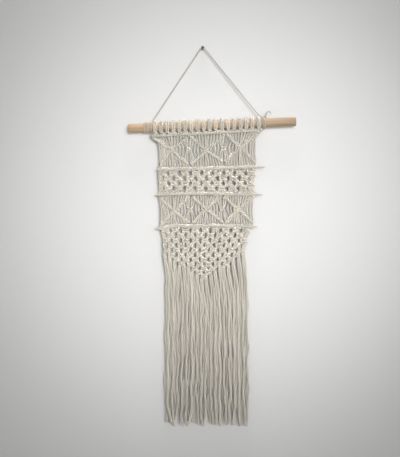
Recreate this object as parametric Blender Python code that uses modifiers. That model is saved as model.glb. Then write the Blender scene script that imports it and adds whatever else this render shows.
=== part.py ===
"""Macrame wall hanging on a wooden rod, hung by a thin cord from a nail.

Run with: blender --background --python part.py
World axes: +X to the viewer's right, +Z up, and -Y away from the wall, towards the viewer.
The origin is the middle of the nail's flat back end, which stands on the wall plane, y = 0.

Every cord is a curve with a bevel. The panel's cords, bars and knots are made meshes and joined
by one Boolean union, and so are the fringe with its strip and the hanging cord with its knots.
"""
import functools
import itertools
import math

import bmesh
import bpy
from mathutils import Matrix, Vector

MM = 0.001  # sizes below are in millimetres

# ---- driving dimensions ----
GAP = 0.4  # running clearance between two pieces that touch on the real thing
WEAVE_Y = -15.0  # depth of the panel's middle, in front of the wall

ROD_MIDDLE = (18.9, -15.0, -154.9)
ROD_LENGTH = 335.0
ROD_DIAMETER = 18.0
ROD_TILT = math.radians(2.36)  # the right end hangs a little higher
ROD_EDGE = 1.2

NAIL_SHANK = 2.6
NAIL_HEAD = 6.0
NAIL_HEAD_THICK = 1.4
NAIL_REACH = 17.0  # wall to the front of the head
NAIL_DOME = 0.2  # the head's rim is this far behind its middle
NAIL_RIM = 0.6  # rounding of the head's rim and of the neck behind it

CORD = 4.0  # the cotton cord that is knotted
CORDS = 36
HANGER = 2.6  # the thinner cord that the rod hangs from
HANGER_KNOT = 2.9  # half the size of its knot
HANGER_TAIL = ((1.6, -1.0, 5.5), (4.6, -2.0, 10.0), (7.8, -2.6, 10.6), (9.6, -2.8, 7.8))  # from the knot
HANGER_KNOT_SHAPE = ((-1.0, 0.4), (-0.4, 1.0), (0.4, 1.0), (1.0, 0.4))  # along it, and its thickness
WRAP_STEPS = 10  # points in a turn round the rod
# The first and the last reach along the rod, from its middle, and the turns.
LEFT_WRAPS = (-122.4, -135.0, 2.6)
RIGHT_WRAPS = (99.6, 107.2, 2.0)
NAIL_CORD_Y = -8.5  # where the cord lies on the nail
NAIL_BEND = (-57.0, -29.0, 0.0, 27.0, 54.0)  # degrees from straight above the nail, left to right
NAIL_BEND_HALF_STEP = 14.5

# A lark's head is two turns of cord side by side, so its section has two ridges.
LARKS_HEADS = 18
LARK_FIRST_X = -95.0
LARK_PITCH = 12.12
LARK_HALF_WIDTH = 4.1
LARK_THICK = 3.6
LARK_GROOVE = 1.6
LARK_ARC = (-35.0, 215.0)  # degrees round the rod from its front, under it and round its back
LARK_ARC_STEPS = 5
LARK_BOTTOM = -16.0  # the loop closes this far under the rod's middle, inside the bar

BAR_RADIUS = 4.5  # a bar of double half hitches, at a hitch
BAR_NECK = 3.0  # and between two hitches
BAR_CORNER = 1.2  # corner of a bar's square section, as a share of its radius
BAR_TAIL_RADIUS = 2.0  # the filler cord where it runs on past the panel's edge
DIAGONAL_RADIUS = 3.8
DIAGONAL_NECK = 2.5
CROSSING_DEPTH = 0.2  # a cross's two bars lie this far before and behind the panel's middle
HITCHES_ACROSS = 10
HITCHES_ON_DIAGONAL = 4
RUN_ON = 1.0  # a bar, knot or leg goes this far past the place that it ends at
HOLD_BACK = 1.0  # a run of cord ends this far short of the middle of its bar, inside it
SHORTEST_RUN = 9.0  # a shorter run of cord is hidden in the bars that it joins

# A square knot seen from outside: two bulges, one over the other, with narrow ends.
KNOT_SHAPE = ((1.0, 0.55), (0.55, 1.0), (0.0, 0.78), (-0.55, 1.0), (-1.0, 0.55))  # height, width
KNOT_RADIUS = 7.4
KNOT_HALF_HEIGHT = 6.0
KNOT_FLAT = 0.66  # share of its width that a knot is deep
LEG_HALF_WIDTH = 3.8  # a leg of the net is cords side by side
LEG_THICK = 3.6
LEG_BACK = 1.2  # how far of that is behind the panel's middle
LEG_END = 0.5  # share of that width at a net's lower end
LEG_CLEAR = 0.6  # from there down to the fringe's strip
LEG_IN = (3.3, 2.4)  # two legs go into a knot this far from its middle, sideways and up or down
BOWED = 2  # cords at each side corner of a diamond that bow past its knot; the rest go into it
BOW = 0.3  # how far a bowed cord is drawn over towards the knot
GATHERED_WIDTH = 0.2  # the gathered cords' spread at the knot, as a share of their spread at the arms
GATHERED_HEIGHT = 3.0  # and the height above or below the knot's middle at which they go in

FRINGE_TOP_Z = -409.0
FRINGE_TIP_Z = -467.0
FRINGE_BOTTOM_Z = -749.0
FRINGE_STRIP = 5.0  # height of the strip that holds the fringe
FRINGE_STRIP_DEPTH = 5.2
FRINGE_STRIP_PAST = 3.0  # the strip runs this far past its first and last strand
FRINGE_LAYER = 2.4  # every other strand hangs this far behind the middle, the rest before it
FRINGE_SHAPE = ((0.3, 1.0), (0.62, 1.0), (0.9, 1.05), (1.0, 1.35))  # share of its length, thickness
FRINGE_UNEVEN = 1.6  # how far up and down the ends lie
FRINGE_SWAY = 1.6  # how far a strand's end swings aside
UNEVEN_STEP = 2.4  # radians from one strand to the next
SWAY_STEP = 1.9
SWAY_ALONG = 5.0  # radians down a strand
SHARP_EDGE = math.radians(45)

# Horizontal bars, each a line of (x, z) from its left tail to its right tail, with the reach
# of its hitches in x.
BARS = {
    "under_rod": {"line": ((-104.2, -177.2), (122.8, -166.0)), "hitched": (-102.0, 117.2)},
    "upper": {
        "line": ((-91.0, -243.0), (6.8, -242.0), (109.8, -238.2), (124.8, -238.8)),
        "hitched": (-88.0, 110.0),
    },
    "lower": {
        "line": ((-96.0, -295.6), (-88.0, -293.4), (6.8, -291.4), (109.8, -294.0), (119.8, -294.4)),
        "hitched": (-88.0, 110.0),
    },
    "over_net": {
        "line": ((-96.2, -362.2), (-85.0, -361.2), (-55.2, -355.8), (-25.2, -356.8), (16.8, -354.8),
                 (44.8, -357.0), (74.8, -355.6), (100.8, -357.8), (109.8, -359.6)),
        "hitched": (-85.0, 105.0),
    },
}

# Crosses of diagonal bars: (x, z) of the crossing and of the ends of its four arms.
CROSSES = {
    "top": (
        {"middle": (-62.0, -204.6), "up_left": (-103.0, -178.5), "up_right": (-35.5, -176.5),
         "down_left": (-86.0, -231.5), "down_right": (-31.0, -234.0)},
        {"middle": (7.0, -204.8), "up_left": (-21.0, -177.0), "up_right": (39.5, -173.0),
         "down_left": (-21.5, -234.0), "down_right": (37.0, -231.0)},
        {"middle": (75.4, -197.8), "up_left": (50.5, -171.0), "up_right": (117.5, -167.0),
         "down_left": (47.5, -227.5), "down_right": (105.5, -232.5)},
    ),
    "low": (
        {"middle": (-57.2, -327.8), "up_left": (-85.0, -300.0), "up_right": (-26.0, -297.0),
         "down_left": (-83.5, -353.0), "down_right": (-26.5, -350.5)},
        {"middle": (6.8, -320.8), "up_left": (-20.0, -297.0), "up_right": (36.0, -297.0),
         "down_left": (-20.5, -350.0), "down_right": (41.0, -351.0)},
        {"middle": (71.2, -323.0), "up_left": (43.0, -297.5), "up_right": (99.5, -298.0),
         "down_left": (47.0, -351.0), "down_right": (101.5, -352.5)},
    ),
}

# x of the first and the last cord where they cross each bar and the end of the net.
CORD_REACH = {
    "under_rod": (-98.0, 114.0),
    "upper": (-84.0, 106.5),
    "lower": (-84.0, 106.0),
    "over_net": (-82.0, 101.5),
    "net_end": (-76.5, 86.5),
    "fringe_end": (-73.5, 92.5),
}

# Net rows: height, and the cord pairs (0 to 17) that each knot takes in, as first and last pair.
# The pair whose number is parts_at more than a multiple of four starts the knot's right half.
NETS = {
    "upper": (
        {"z": -258.5, "parts_at": 1, "knots": ((0, 2), (3, 6), (7, 10), (11, 14), (15, 17))},
        {"z": -277.0, "parts_at": 3, "knots": ((1, 4), (5, 8), (9, 12), (13, 16))},
    ),
    "lower": (
        {"z": -374.5, "parts_at": 1, "knots": ((0, 2), (3, 6), (7, 10), (11, 14), (15, 17))},
        {"z": -393.5, "parts_at": 3, "knots": ((1, 4), (5, 8), (9, 12), (13, 16))},
        {"z": -412.5, "parts_at": 1, "knots": ((3, 6), (7, 10), (11, 14))},
        {"z": -431.0, "parts_at": 3, "knots": ((5, 8), (9, 12))},
        {"z": -449.0, "parts_at": 1, "knots": ((7, 10),)},
    ),
}


def clear_scene():
    for old in list(bpy.data.objects):
        bpy.data.objects.remove(old, do_unlink=True)


def new_collection(name, helper=False):
    made = bpy.data.collections.new(name)
    bpy.context.scene.collection.children.link(made)
    made.hide_render = helper
    return made


clear_scene()
HANGING = new_collection("macrame_wall_hanging")
HELPERS = new_collection("helpers", helper=True)


def material(name, colour, roughness, metallic=0.0):
    made = bpy.data.materials.new(name)
    made.use_nodes = True
    shader = made.node_tree.nodes["Principled BSDF"]
    shader.inputs["Base Color"].default_value = (*colour, 1.0)
    shader.inputs["Roughness"].default_value = roughness
    shader.inputs["Metallic"].default_value = metallic
    made.diffuse_color = (*colour, 1.0)
    return made


def add_object(name, data, collection, finish=None):
    made = bpy.data.objects.new(name, data)
    collection.objects.link(made)
    if finish:
        made.data.materials.clear()
        made.data.materials.append(finish)
    return made


# ---- cords: curves with a bevel ----
def section(name, corners):
    """A closed outline, in millimetres, that a cord's curve carries along itself."""
    outline = bpy.data.curves.new(name, "CURVE")
    outline.dimensions = "2D"
    spline = outline.splines.new("POLY")
    spline.points.add(len(corners) - 1)
    for point, (across, out) in zip(spline.points, corners):
        point.co = (across * MM, out * MM, 0.0, 1.0)
    spline.use_cyclic_u = True
    made = add_object(name, outline, HELPERS)
    made.hide_render = True
    made.display_type = "WIRE"
    return made


def ngon(sides, radius, turn=0.0):
    return [(radius * math.cos(turn + math.tau * n / sides), radius * math.sin(turn + math.tau * n / sides))
            for n in range(sides)]


def lengthened(route, by):
    """The route run on past both ends, or held back from them where by is negative."""
    ends = []
    for (x, y, z, size), (nx, ny, nz, _) in ((route[0], route[1]), (route[-1], route[-2])):
        step = Vector((x - nx, y - ny, z - nz)).normalized() * by
        ends.append((x + step.x, y + step.y, z + step.z, size))
    return [ends[0], *route[1:-1], ends[1]]


# A route is drawn flat, with the panel's height along the curve's Y and its front along Z, so
# that a section's second axis always faces the viewer. This stands it upright.
FLAT_TO_UPRIGHT = Matrix.Rotation(math.pi / 2, 4, "X")


def tubes(name, routes, bevel=None, radius=None, resolution=0, cyclic=False, run_on=RUN_ON, twist="Z_UP"):
    """One mesh object of all the routes' tubes. A route is a list of (x, y, z, size) in mm.

    With bevel the size multiplies that section, else it multiplies a round tube's radius.
    """
    curve = bpy.data.curves.new(name, "CURVE")
    curve.dimensions = "3D"
    curve.twist_mode = twist
    curve.use_fill_caps = True
    if bevel:
        curve.bevel_mode = "OBJECT"
        curve.bevel_object = bevel
    else:
        curve.bevel_depth = radius * MM
        curve.bevel_resolution = resolution
    for route in routes:
        if not cyclic:
            route = lengthened(route, run_on)
        spline = curve.splines.new("POLY")
        spline.points.add(len(route) - 1)
        spline.use_cyclic_u = cyclic
        for point, (x, y, z, size) in zip(spline.points, route):
            point.co = (x * MM, z * MM, -y * MM, 1.0)
            point.radius = size
    made = add_object(name, curve, HELPERS)
    made.matrix_world = FLAT_TO_UPRIGHT
    return as_mesh(made)


def as_mesh(curve_object):
    """The curve's evaluated mesh, with its caps welded, in place of the curve."""
    bpy.context.view_layer.update()
    graph = bpy.context.evaluated_depsgraph_get()
    mesh = bpy.data.meshes.new_from_object(curve_object.evaluated_get(graph))
    weld(mesh)
    mesh.transform(curve_object.matrix_world)
    made = add_object(curve_object.name + "_mesh", mesh, HELPERS)
    bpy.data.objects.remove(curve_object, do_unlink=True)
    return made


def weld(mesh):
    form = bmesh.new()
    form.from_mesh(mesh)
    bmesh.ops.remove_doubles(form, verts=form.verts, dist=0.00001)
    bmesh.ops.recalc_face_normals(form, faces=form.faces)
    form.to_mesh(mesh)
    form.free()


def flatten(made, share):
    """Makes a group of knots this share as deep, about the panel's middle depth."""
    middle = WEAVE_Y * MM
    for vertex in made.data.vertices:
        vertex.co.y = middle + share * (vertex.co.y - middle)


def loose_parts(made):
    """Splits a mesh object into one object for each tube in it."""
    bpy.ops.object.select_all(action="DESELECT")
    made.select_set(True)
    bpy.context.view_layer.objects.active = made
    bpy.ops.mesh.separate(type="LOOSE")
    return list(bpy.context.selected_objects)


def union(name, groups, finish):
    """One closed body of all the tubes in these mesh objects."""
    pieces = [piece for group in groups for piece in loose_parts(group)]
    first = max(pieces, key=lambda piece: len(piece.data.vertices))
    others = bpy.data.collections.new(name + "_pieces")
    HELPERS.children.link(others)
    for piece in pieces:
        piece.name = name + "_piece"
        if piece is not first:
            HELPERS.objects.unlink(piece)
            others.objects.link(piece)
    joint = first.modifiers.new("joined", "BOOLEAN")
    joint.operation = "UNION"
    joint.solver = "EXACT"
    joint.operand_type = "COLLECTION"
    joint.collection = others
    bpy.context.view_layer.update()
    graph = bpy.context.evaluated_depsgraph_get()
    mesh = bpy.data.meshes.new_from_object(first.evaluated_get(graph))
    mesh.name = name
    for piece in pieces:
        bpy.data.objects.remove(piece, do_unlink=True)
    bpy.data.collections.remove(others)
    made = add_object(name, mesh, HANGING, finish)
    mesh.shade_smooth()
    mesh.set_sharp_from_angle(angle=SHARP_EDGE)
    return made


# ---- places on the panel ----
def along(line, x):
    """Height of a line of (x, z) at x; it runs on straight past its ends."""
    for start, end in zip(line, line[1:]):
        if x <= end[0]:
            break
    share = (x - start[0]) / (end[0] - start[0])
    return start[1] + share * (end[1] - start[1])


def between(a, b, share):
    return tuple(p + share * (q - p) for p, q in zip(a, b))


def cord_x(level, number):
    """x of a cord, 0 to 35, where it crosses a bar; halves stand between two cords."""
    first, last = CORD_REACH[level]
    return first + number / (CORDS - 1) * (last - first)


def on_bar(bar, number):
    x = cord_x(bar, number)
    return x, along(BARS[bar]["line"], x)


def on_net_end(number):
    """Where a leg of the lower net ends, just clear of the strip under it."""
    x = cord_x("net_end", number)
    slope = (FRINGE_TOP_Z - FRINGE_TIP_Z) / (CORD_REACH["net_end"][1] - CORD_REACH["net_end"][0]) * 2
    strip_half = FRINGE_STRIP / 2 * math.hypot(1.0, slope)
    return x, v_edge(x) + strip_half + LEG_CLEAR


def rod_z(x):
    return ROD_MIDDLE[2] + (x - ROD_MIDDLE[0]) * math.tan(ROD_TILT)


# ---- sub-parts ----
def make_rod(finish):
    bpy.ops.mesh.primitive_cylinder_add(
        vertices=24, radius=ROD_DIAMETER / 2 * MM, depth=ROD_LENGTH * MM,
        location=[v * MM for v in ROD_MIDDLE], rotation=(0.0, math.pi / 2 - ROD_TILT, 0.0))
    rod = bpy.context.object
    rod.name = "wooden_rod"
    take_in(rod, finish)
    bevel = rod.modifiers.new("sawn_edge", "BEVEL")
    bevel.width = ROD_EDGE * MM
    bevel.segments = 1
    bevel.limit_method = "ANGLE"
    bevel.angle_limit = math.radians(60)
    return rod


def take_in(made, finish):
    """Moves a primitive into the hanging's collection and gives it its material."""
    for holder in list(made.users_collection):
        holder.objects.unlink(made)
    HANGING.objects.link(made)
    made.data.materials.clear()
    made.data.materials.append(finish)
    made.data.shade_smooth()
    made.data.set_sharp_from_angle(angle=SHARP_EDGE)


def make_nail(finish):
    """A turned nail: shank and domed head, its profile at +X run from the head to the wall."""
    head_back = NAIL_REACH - NAIL_HEAD_THICK
    profile = (
        (0.0, NAIL_REACH),
        (NAIL_HEAD / 2 - NAIL_RIM, NAIL_REACH - NAIL_DOME),
        (NAIL_HEAD / 2, NAIL_REACH - NAIL_RIM),
        (NAIL_HEAD / 2 - NAIL_RIM / 2, head_back),
        (NAIL_SHANK / 2, head_back - NAIL_RIM),
        (NAIL_SHANK / 2, 0.0),
        (0.0, 0.0),
    )
    mesh = bpy.data.meshes.new("wall_nail")
    mesh.from_pydata([(r * MM, 0.0, z * MM) for r, z in profile],
                     [(n, n + 1) for n in range(len(profile) - 1)], [])
    nail = add_object("wall_nail", mesh, HANGING, finish)
    nail.rotation_euler = (math.pi / 2, 0.0, 0.0)
    screw = nail.modifiers.new("turned", "SCREW")
    screw.axis = "Z"
    screw.steps = 16
    screw.render_steps = 16
    screw.use_merge_vertices = True
    screw.merge_threshold = 0.0001
    return nail


# A loop is drawn in the panel's plane; this turns it across the rod.
TURN_TO_ROD = Matrix.Rotation(math.pi / 2, 4, "Z")


def lark_heads():
    """Closed loops round the rod, drawn down into the bar under it."""
    two_turns = section("two_turns", (
        (0.0, -LARK_HALF_WIDTH), (LARK_THICK, -LARK_HALF_WIDTH / 2), (LARK_GROOVE, 0.0),
        (LARK_THICK, LARK_HALF_WIDTH / 2), (0.0, LARK_HALF_WIDTH)))
    start, end = map(math.radians, LARK_ARC)
    step = (end - start) / LARK_ARC_STEPS
    inner = (ROD_DIAMETER / 2 + GAP) / math.cos(step / 2)
    loop = [(0.0, 0.0, LARK_BOTTOM, 1.0)]
    for n in range(LARK_ARC_STEPS + 1):
        loop.append((inner * math.cos(start + n * step), 0.0, inner * math.sin(start + n * step), 1.0))
    made = tubes("lark_heads", [loop], bevel=two_turns, cyclic=True)
    heads = []
    for n in range(LARKS_HEADS):
        x = LARK_FIRST_X + n * LARK_PITCH
        copy = add_object("lark_head", made.data.copy(), HELPERS)
        place = Matrix.Translation(Vector((x, ROD_MIDDLE[1], rod_z(x))) * MM)
        copy.data.transform(place @ Matrix.Rotation(-ROD_TILT, 4, "Y") @ TURN_TO_ROD)
        heads.append(copy)
    bpy.data.objects.remove(made, do_unlink=True)
    return heads


def hitched_bar(line, first, last):
    """Points of a bar that swells at each of its hitches and ends in the bare filler cord."""
    points = [(line[0][0], WEAVE_Y, line[0][1], BAR_TAIL_RADIUS)]
    steps = 2 * HITCHES_ACROSS
    for n in range(steps + 1):
        x = first + (last - first) * n / steps
        points.append((x, WEAVE_Y, along(line, x), BAR_RADIUS if n % 2 else BAR_NECK))
    points.append((line[-1][0], WEAVE_Y, line[-1][1], BAR_TAIL_RADIUS))
    return points


def diagonal(start, middle, end, depth):
    """A diagonal bar from its top end through the crossing to its lower end."""
    points = []
    steps = 2 * HITCHES_ON_DIAGONAL
    for n in range(steps + 1):
        share = 2 * n / steps
        x, z = between(start, middle, share) if share < 1 else between(middle, end, share - 1)
        points.append((x, depth, z, DIAGONAL_RADIUS if n % 2 else DIAGONAL_NECK))
    return points


def run(points, size=1.0):
    """A cord's route through (x, z) points in the panel's plane."""
    return [(x, WEAVE_Y, z, size) for x, z in points]


def cross_runs(crosses, bar_over, bar_under):
    """The cords between two bars: over, between and under the arms of the crosses."""
    runs = []
    for number in range(CORDS):
        column, place = divmod(number, 12)
        cross = crosses[column]
        left = place < 6
        share = (place + 0.5) / 6 if left else (11.5 - place) / 6
        side = "left" if left else "right"
        over = between(cross["up_" + side], cross["middle"], share)
        under = between(cross["down_" + side], cross["middle"], share)
        runs += [[on_bar(bar_over, number), over], [under, on_bar(bar_under, number)]]
        neighbour = column + (-1 if left else 1)
        if not 0 <= neighbour < len(crosses):
            runs.append([over, under])
            continue
        centre = between(cross["middle"], crosses[neighbour]["middle"], 0.5)
        from_corner = round(6 * (1 - share) - 0.5)
        x = (over[0] + under[0]) / 2
        if from_corner < BOWED:
            runs.append([over, (x + BOW * (centre[0] - x), centre[1]), under])
        elif place % 2:
            runs += [[over, gathered(centre, x, 1)], [gathered(centre, x, -1), under]]
    return [route for route in runs if abs(route[0][1] - route[-1][1]) > SHORTEST_RUN]


def gathered(centre, x, up):
    """Where a cord of a diamond goes into its knot, above (up 1) or below (-1) the middle."""
    return centre[0] + GATHERED_WIDTH * (x - centre[0]), centre[1] + up * GATHERED_HEIGHT


def gathers(crosses):
    """The knot in the middle of each diamond."""
    knots = []
    for cross, other in zip(crosses, crosses[1:]):
        x, z = between(cross["middle"], other["middle"], 0.5)
        knots.append(knot(x, z))
    return knots


def knot(x, z):
    return [(x, WEAVE_Y, z + up * KNOT_HALF_HEIGHT, size * KNOT_RADIUS) for up, size in KNOT_SHAPE]


def net(rows, top_of, end_of):
    """Knots of a net, and its legs: the cords that run from knot to knot.

    top_of and end_of give the (x, z) of a cord's number at the net's upper and lower end.
    """
    knots = []
    legs = []
    held = [top_of(2 * pair + 0.5) for pair in range(CORDS // 2)]  # where each pair was held last
    for row in rows:
        for first, last in row["knots"]:
            top, end = top_of(first + last + 0.5), end_of(first + last + 0.5)
            x, _ = between(top, end, (row["z"] - top[1]) / (end[1] - top[1]))
            knots.append(knot(x, row["z"]))
            parting = next(n for n in range(first + 1, last + 1) if n % 4 == row["parts_at"])
            for side, members in ((-1, range(first, parting)), (1, range(parting, last + 1))):
                legs.append([mean([held[n] for n in members]), (x + side * LEG_IN[0], row["z"] + LEG_IN[1])])
                for n in members:
                    held[n] = (x + side * LEG_IN[0], row["z"] - LEG_IN[1])
    routes = [run(leg) for leg in legs]
    for place, members in itertools.groupby(range(len(held)), key=lambda n: held[n]):
        x, z = mean([end_of(2 * n + 0.5) for n in members])
        routes.append([*run([place]), (x, WEAVE_Y, z, LEG_END)])
    return knots, routes


def mean(places):
    return tuple(sum(values) / len(places) for values in zip(*places))


def v_edge(x):
    """Height of the fringe strip's middle at x: a V with its tip under the panel's middle."""
    first, last = CORD_REACH["net_end"]
    tip = (first + last) / 2
    half = (last - first) / 2
    return FRINGE_TIP_Z + (FRINGE_TOP_Z - FRINGE_TIP_Z) * min(1.0, abs(x - tip) / half)


def make_panel(finish):
    cord = section("single_cord", ngon(3, CORD / 2, math.pi / 2))
    square = section("square_bar", ngon(4, BAR_CORNER, math.pi / 4))
    side_by_side = section("leg_of_cords", (
        (-LEG_HALF_WIDTH, -LEG_BACK), (LEG_HALF_WIDTH, -LEG_BACK), (0.0, LEG_THICK - LEG_BACK)))
    bars = [hitched_bar(bar["line"], *bar["hitched"]) for bar in BARS.values()]
    runs = []
    knots = []
    for band, over, under in (("top", "under_rod", "upper"), ("low", "lower", "over_net")):
        crosses = CROSSES[band]
        for cross in crosses:
            for start, end, back in (("up_left", "down_right", -1), ("up_right", "down_left", 1)):
                depth = WEAVE_Y + back * CROSSING_DEPTH
                bars.append(diagonal(cross[start], cross["middle"], cross[end], depth))
        runs += [run(points) for points in cross_runs(crosses, over, under)]
        knots += gathers(crosses)
    legs = []
    for name, top_of, end_of in (
            ("upper", functools.partial(on_bar, "upper"), functools.partial(on_bar, "lower")),
            ("lower", functools.partial(on_bar, "over_net"), on_net_end)):
        more_knots, more_legs = net(NETS[name], top_of, end_of)
        knots += more_knots
        legs += more_legs
    knots = tubes("knots", knots, radius=1.0)
    flatten(knots, KNOT_FLAT)
    groups = [
        tubes("bars", bars, bevel=square),
        knots,
        tubes("runs", runs, bevel=cord, run_on=-HOLD_BACK),
        tubes("legs", legs, bevel=side_by_side, run_on=0.0),
    ]
    return union("knotted_panel", groups + lark_heads(), finish)


def make_fringe(finish):
    """The cord ends under the net, hung side by side from a strip that follows the V."""
    strand = section("fringe_cord", ngon(3, CORD / 2, math.pi / 2))
    high, deep = FRINGE_STRIP / 2, FRINGE_STRIP_DEPTH / 2
    strip = section("v_strip", ((-high, -deep), (high, -deep), (high, deep), (-high, deep)))
    first, last = CORD_REACH["net_end"]
    stops = (first - FRINGE_STRIP_PAST, (first + last) / 2, last + FRINGE_STRIP_PAST)
    edge = [[(x, WEAVE_Y, v_edge(min(max(x, first), last)), 1.0) for x in stops]]
    strands = []
    for number in range(CORDS):
        top_x = cord_x("net_end", number)
        end_x = cord_x("fringe_end", number)
        depth = WEAVE_Y + FRINGE_LAYER * (1 if number % 2 else -1)
        top_z = v_edge(top_x)
        end_z = FRINGE_BOTTOM_Z + FRINGE_UNEVEN * math.sin(UNEVEN_STEP * number)
        route = [(top_x, depth, top_z, 1.0)]
        for share, size in FRINGE_SHAPE:
            sway = FRINGE_SWAY * share * math.sin(SWAY_STEP * number + SWAY_ALONG * share)
            x = top_x + share * (end_x - top_x) + sway
            route.append((x, depth, top_z + share * (end_z - top_z), size))
        strands.append(route)
    groups = [tubes("v_strip", edge, bevel=strip), tubes("strands", strands, bevel=strand, run_on=0.0)]
    return union("cord_fringe", groups, finish)


def round_rod(reach, turn, radius):
    """The place beside the rod at this reach along it from its middle, and angle from its front up."""
    axis = Vector((math.cos(ROD_TILT), 0.0, math.sin(ROD_TILT)))
    front = Vector((0.0, -1.0, 0.0))
    up = Vector((-math.sin(ROD_TILT), 0.0, math.cos(ROD_TILT)))
    return tuple(Vector(ROD_MIDDLE) + reach * axis + radius * (math.cos(turn) * front + math.sin(turn) * up))


def wraps(first_reach, last_reach, turns):
    """Turns of the hanging cord that start on top of the rod and run down its front."""
    radius = (ROD_DIAMETER / 2 + GAP + HANGER / 2) / math.cos(math.pi / WRAP_STEPS)
    steps = round(turns * WRAP_STEPS)
    return [round_rod(first_reach + (last_reach - first_reach) * n / steps,
                      math.pi / 2 - math.tau * n / WRAP_STEPS, radius) for n in range(steps + 1)]


def make_hanging_cord(finish):
    """Wrapped round the rod's left end, led over the nail, then wrapped and knotted on the right."""
    bend = (NAIL_SHANK / 2 + GAP + HANGER / 2) / math.cos(math.radians(NAIL_BEND_HALF_STEP))
    over_nail = [(bend * math.sin(turn), NAIL_CORD_Y, bend * math.cos(turn))
                 for turn in map(math.radians, NAIL_BEND)]
    left = wraps(*LEFT_WRAPS)
    right = wraps(*RIGHT_WRAPS)
    tie = round_rod(RIGHT_WRAPS[1], math.pi / 2, ROD_DIAMETER / 2 + GAP + HANGER_KNOT)
    tail = [(tie[0] + across, tie[1] + forward, tie[2] + up) for across, forward, up in HANGER_TAIL]
    route = [(*point, 1.0) for point in (*reversed(left), *over_nail, *right, *tail)]
    bulge = [(tie[0] + across * HANGER_KNOT, tie[1], tie[2], size) for across, size in HANGER_KNOT_SHAPE]
    groups = [
        tubes("hanging_cord", [route], radius=HANGER / 2, resolution=2, twist="MINIMUM"),
        tubes("knot", [bulge], radius=HANGER_KNOT, resolution=1, run_on=0.0),
    ]
    return union("hanging_cord", groups, finish)


def main():
    cotton = material("cotton_cord", (0.72, 0.68, 0.60), 0.9)
    wood = material("pale_wood", (0.72, 0.52, 0.38), 0.6)
    steel = material("dark_steel", (0.12, 0.12, 0.13), 0.45, metallic=0.8)
    make_rod(wood)
    make_nail(steel)
    make_hanging_cord(cotton)
    make_panel(cotton)
    make_fringe(cotton)


main()
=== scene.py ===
"""Macrame wall hanging: its cords, knots, dowel, nail, finishes and studio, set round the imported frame.

Routes and tables are in millimetres: x to the right, z up, and out, which is forward from the
panel's middle plane towards the viewer. Every cord is one route of (x, out, z, share of its full
thickness), smoothed and swept with a three-ply section that turns as it goes along. The hanging
cord's routes have y in place of out.
"""

import math

import bpy
import numpy as np
from bpy.props import FloatProperty, FloatVectorProperty, PointerProperty
from mathutils import Matrix, Vector


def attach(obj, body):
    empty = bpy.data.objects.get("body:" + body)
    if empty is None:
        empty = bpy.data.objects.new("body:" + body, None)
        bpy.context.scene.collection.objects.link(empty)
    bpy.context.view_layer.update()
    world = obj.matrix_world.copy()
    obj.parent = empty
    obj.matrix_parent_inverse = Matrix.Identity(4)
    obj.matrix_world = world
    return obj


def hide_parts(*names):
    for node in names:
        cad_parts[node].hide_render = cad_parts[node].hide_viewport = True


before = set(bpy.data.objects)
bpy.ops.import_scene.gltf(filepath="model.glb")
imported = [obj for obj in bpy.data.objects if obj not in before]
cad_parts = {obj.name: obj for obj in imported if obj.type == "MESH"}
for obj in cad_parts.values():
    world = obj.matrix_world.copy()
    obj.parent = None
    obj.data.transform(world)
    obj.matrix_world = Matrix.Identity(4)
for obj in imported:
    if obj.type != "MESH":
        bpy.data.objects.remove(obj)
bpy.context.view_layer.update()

bl_info = {
    "name": "Macrame Wall Hanging",
    "version": (1, 0, 0),
    "blender": (4, 5, 0),
    "location": "View3D > Sidebar > Macrame",
    "description": "Knots a cotton wall hanging on a dowel, with its finishes and studio",
    "category": "Object",
}

MM = 0.001
WEAVE_Y = -15.0  # y of the panel's middle plane, and of the dowel's axis

# ---- the pattern ----
CORDS = 36
ROD_MIDDLE = (18.9, -154.9)
ROD_LENGTH = 335.0
ROD_RADIUS = 9.0
ROD_TILT = math.radians(2.36)
LARKS_HEADS = 18
LARK_FIRST_X = -95.0
LARK_PITCH = 12.12

# Level bars: the filler's line of (x, z) from tail to tail, the first and last cord's x, and how far
# out from the panel's middle the bar lies.
BARS = {
    "under_rod": {"line": ((-104.2, -177.2), (122.8, -165.2)), "reach": (-99.0, 115.0), "out": 5.0},
    "upper": {
        "line": ((-93.0, -244.6), (-86.0, -243.0), (6.8, -242.0), (109.8, -238.2), (124.8, -238.8)),
        "reach": (-87.0, 107.0), "out": 2.8,
    },
    "lower": {
        "line": ((-96.0, -295.6), (-88.0, -293.4), (6.8, -291.4), (109.8, -294.0), (119.8, -294.4)),
        "reach": (-86.0, 104.0), "out": 2.8,
    },
    "over_net": {
        "line": ((-96.2, -362.2), (-85.0, -361.2), (-55.2, -355.8), (-25.2, -356.8), (16.8, -354.8),
                 (44.8, -357.0), (74.8, -355.6), (100.8, -357.8), (109.8, -359.6)),
        "reach": (-84.0, 99.0), "out": 2.8,
    },
}

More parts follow.
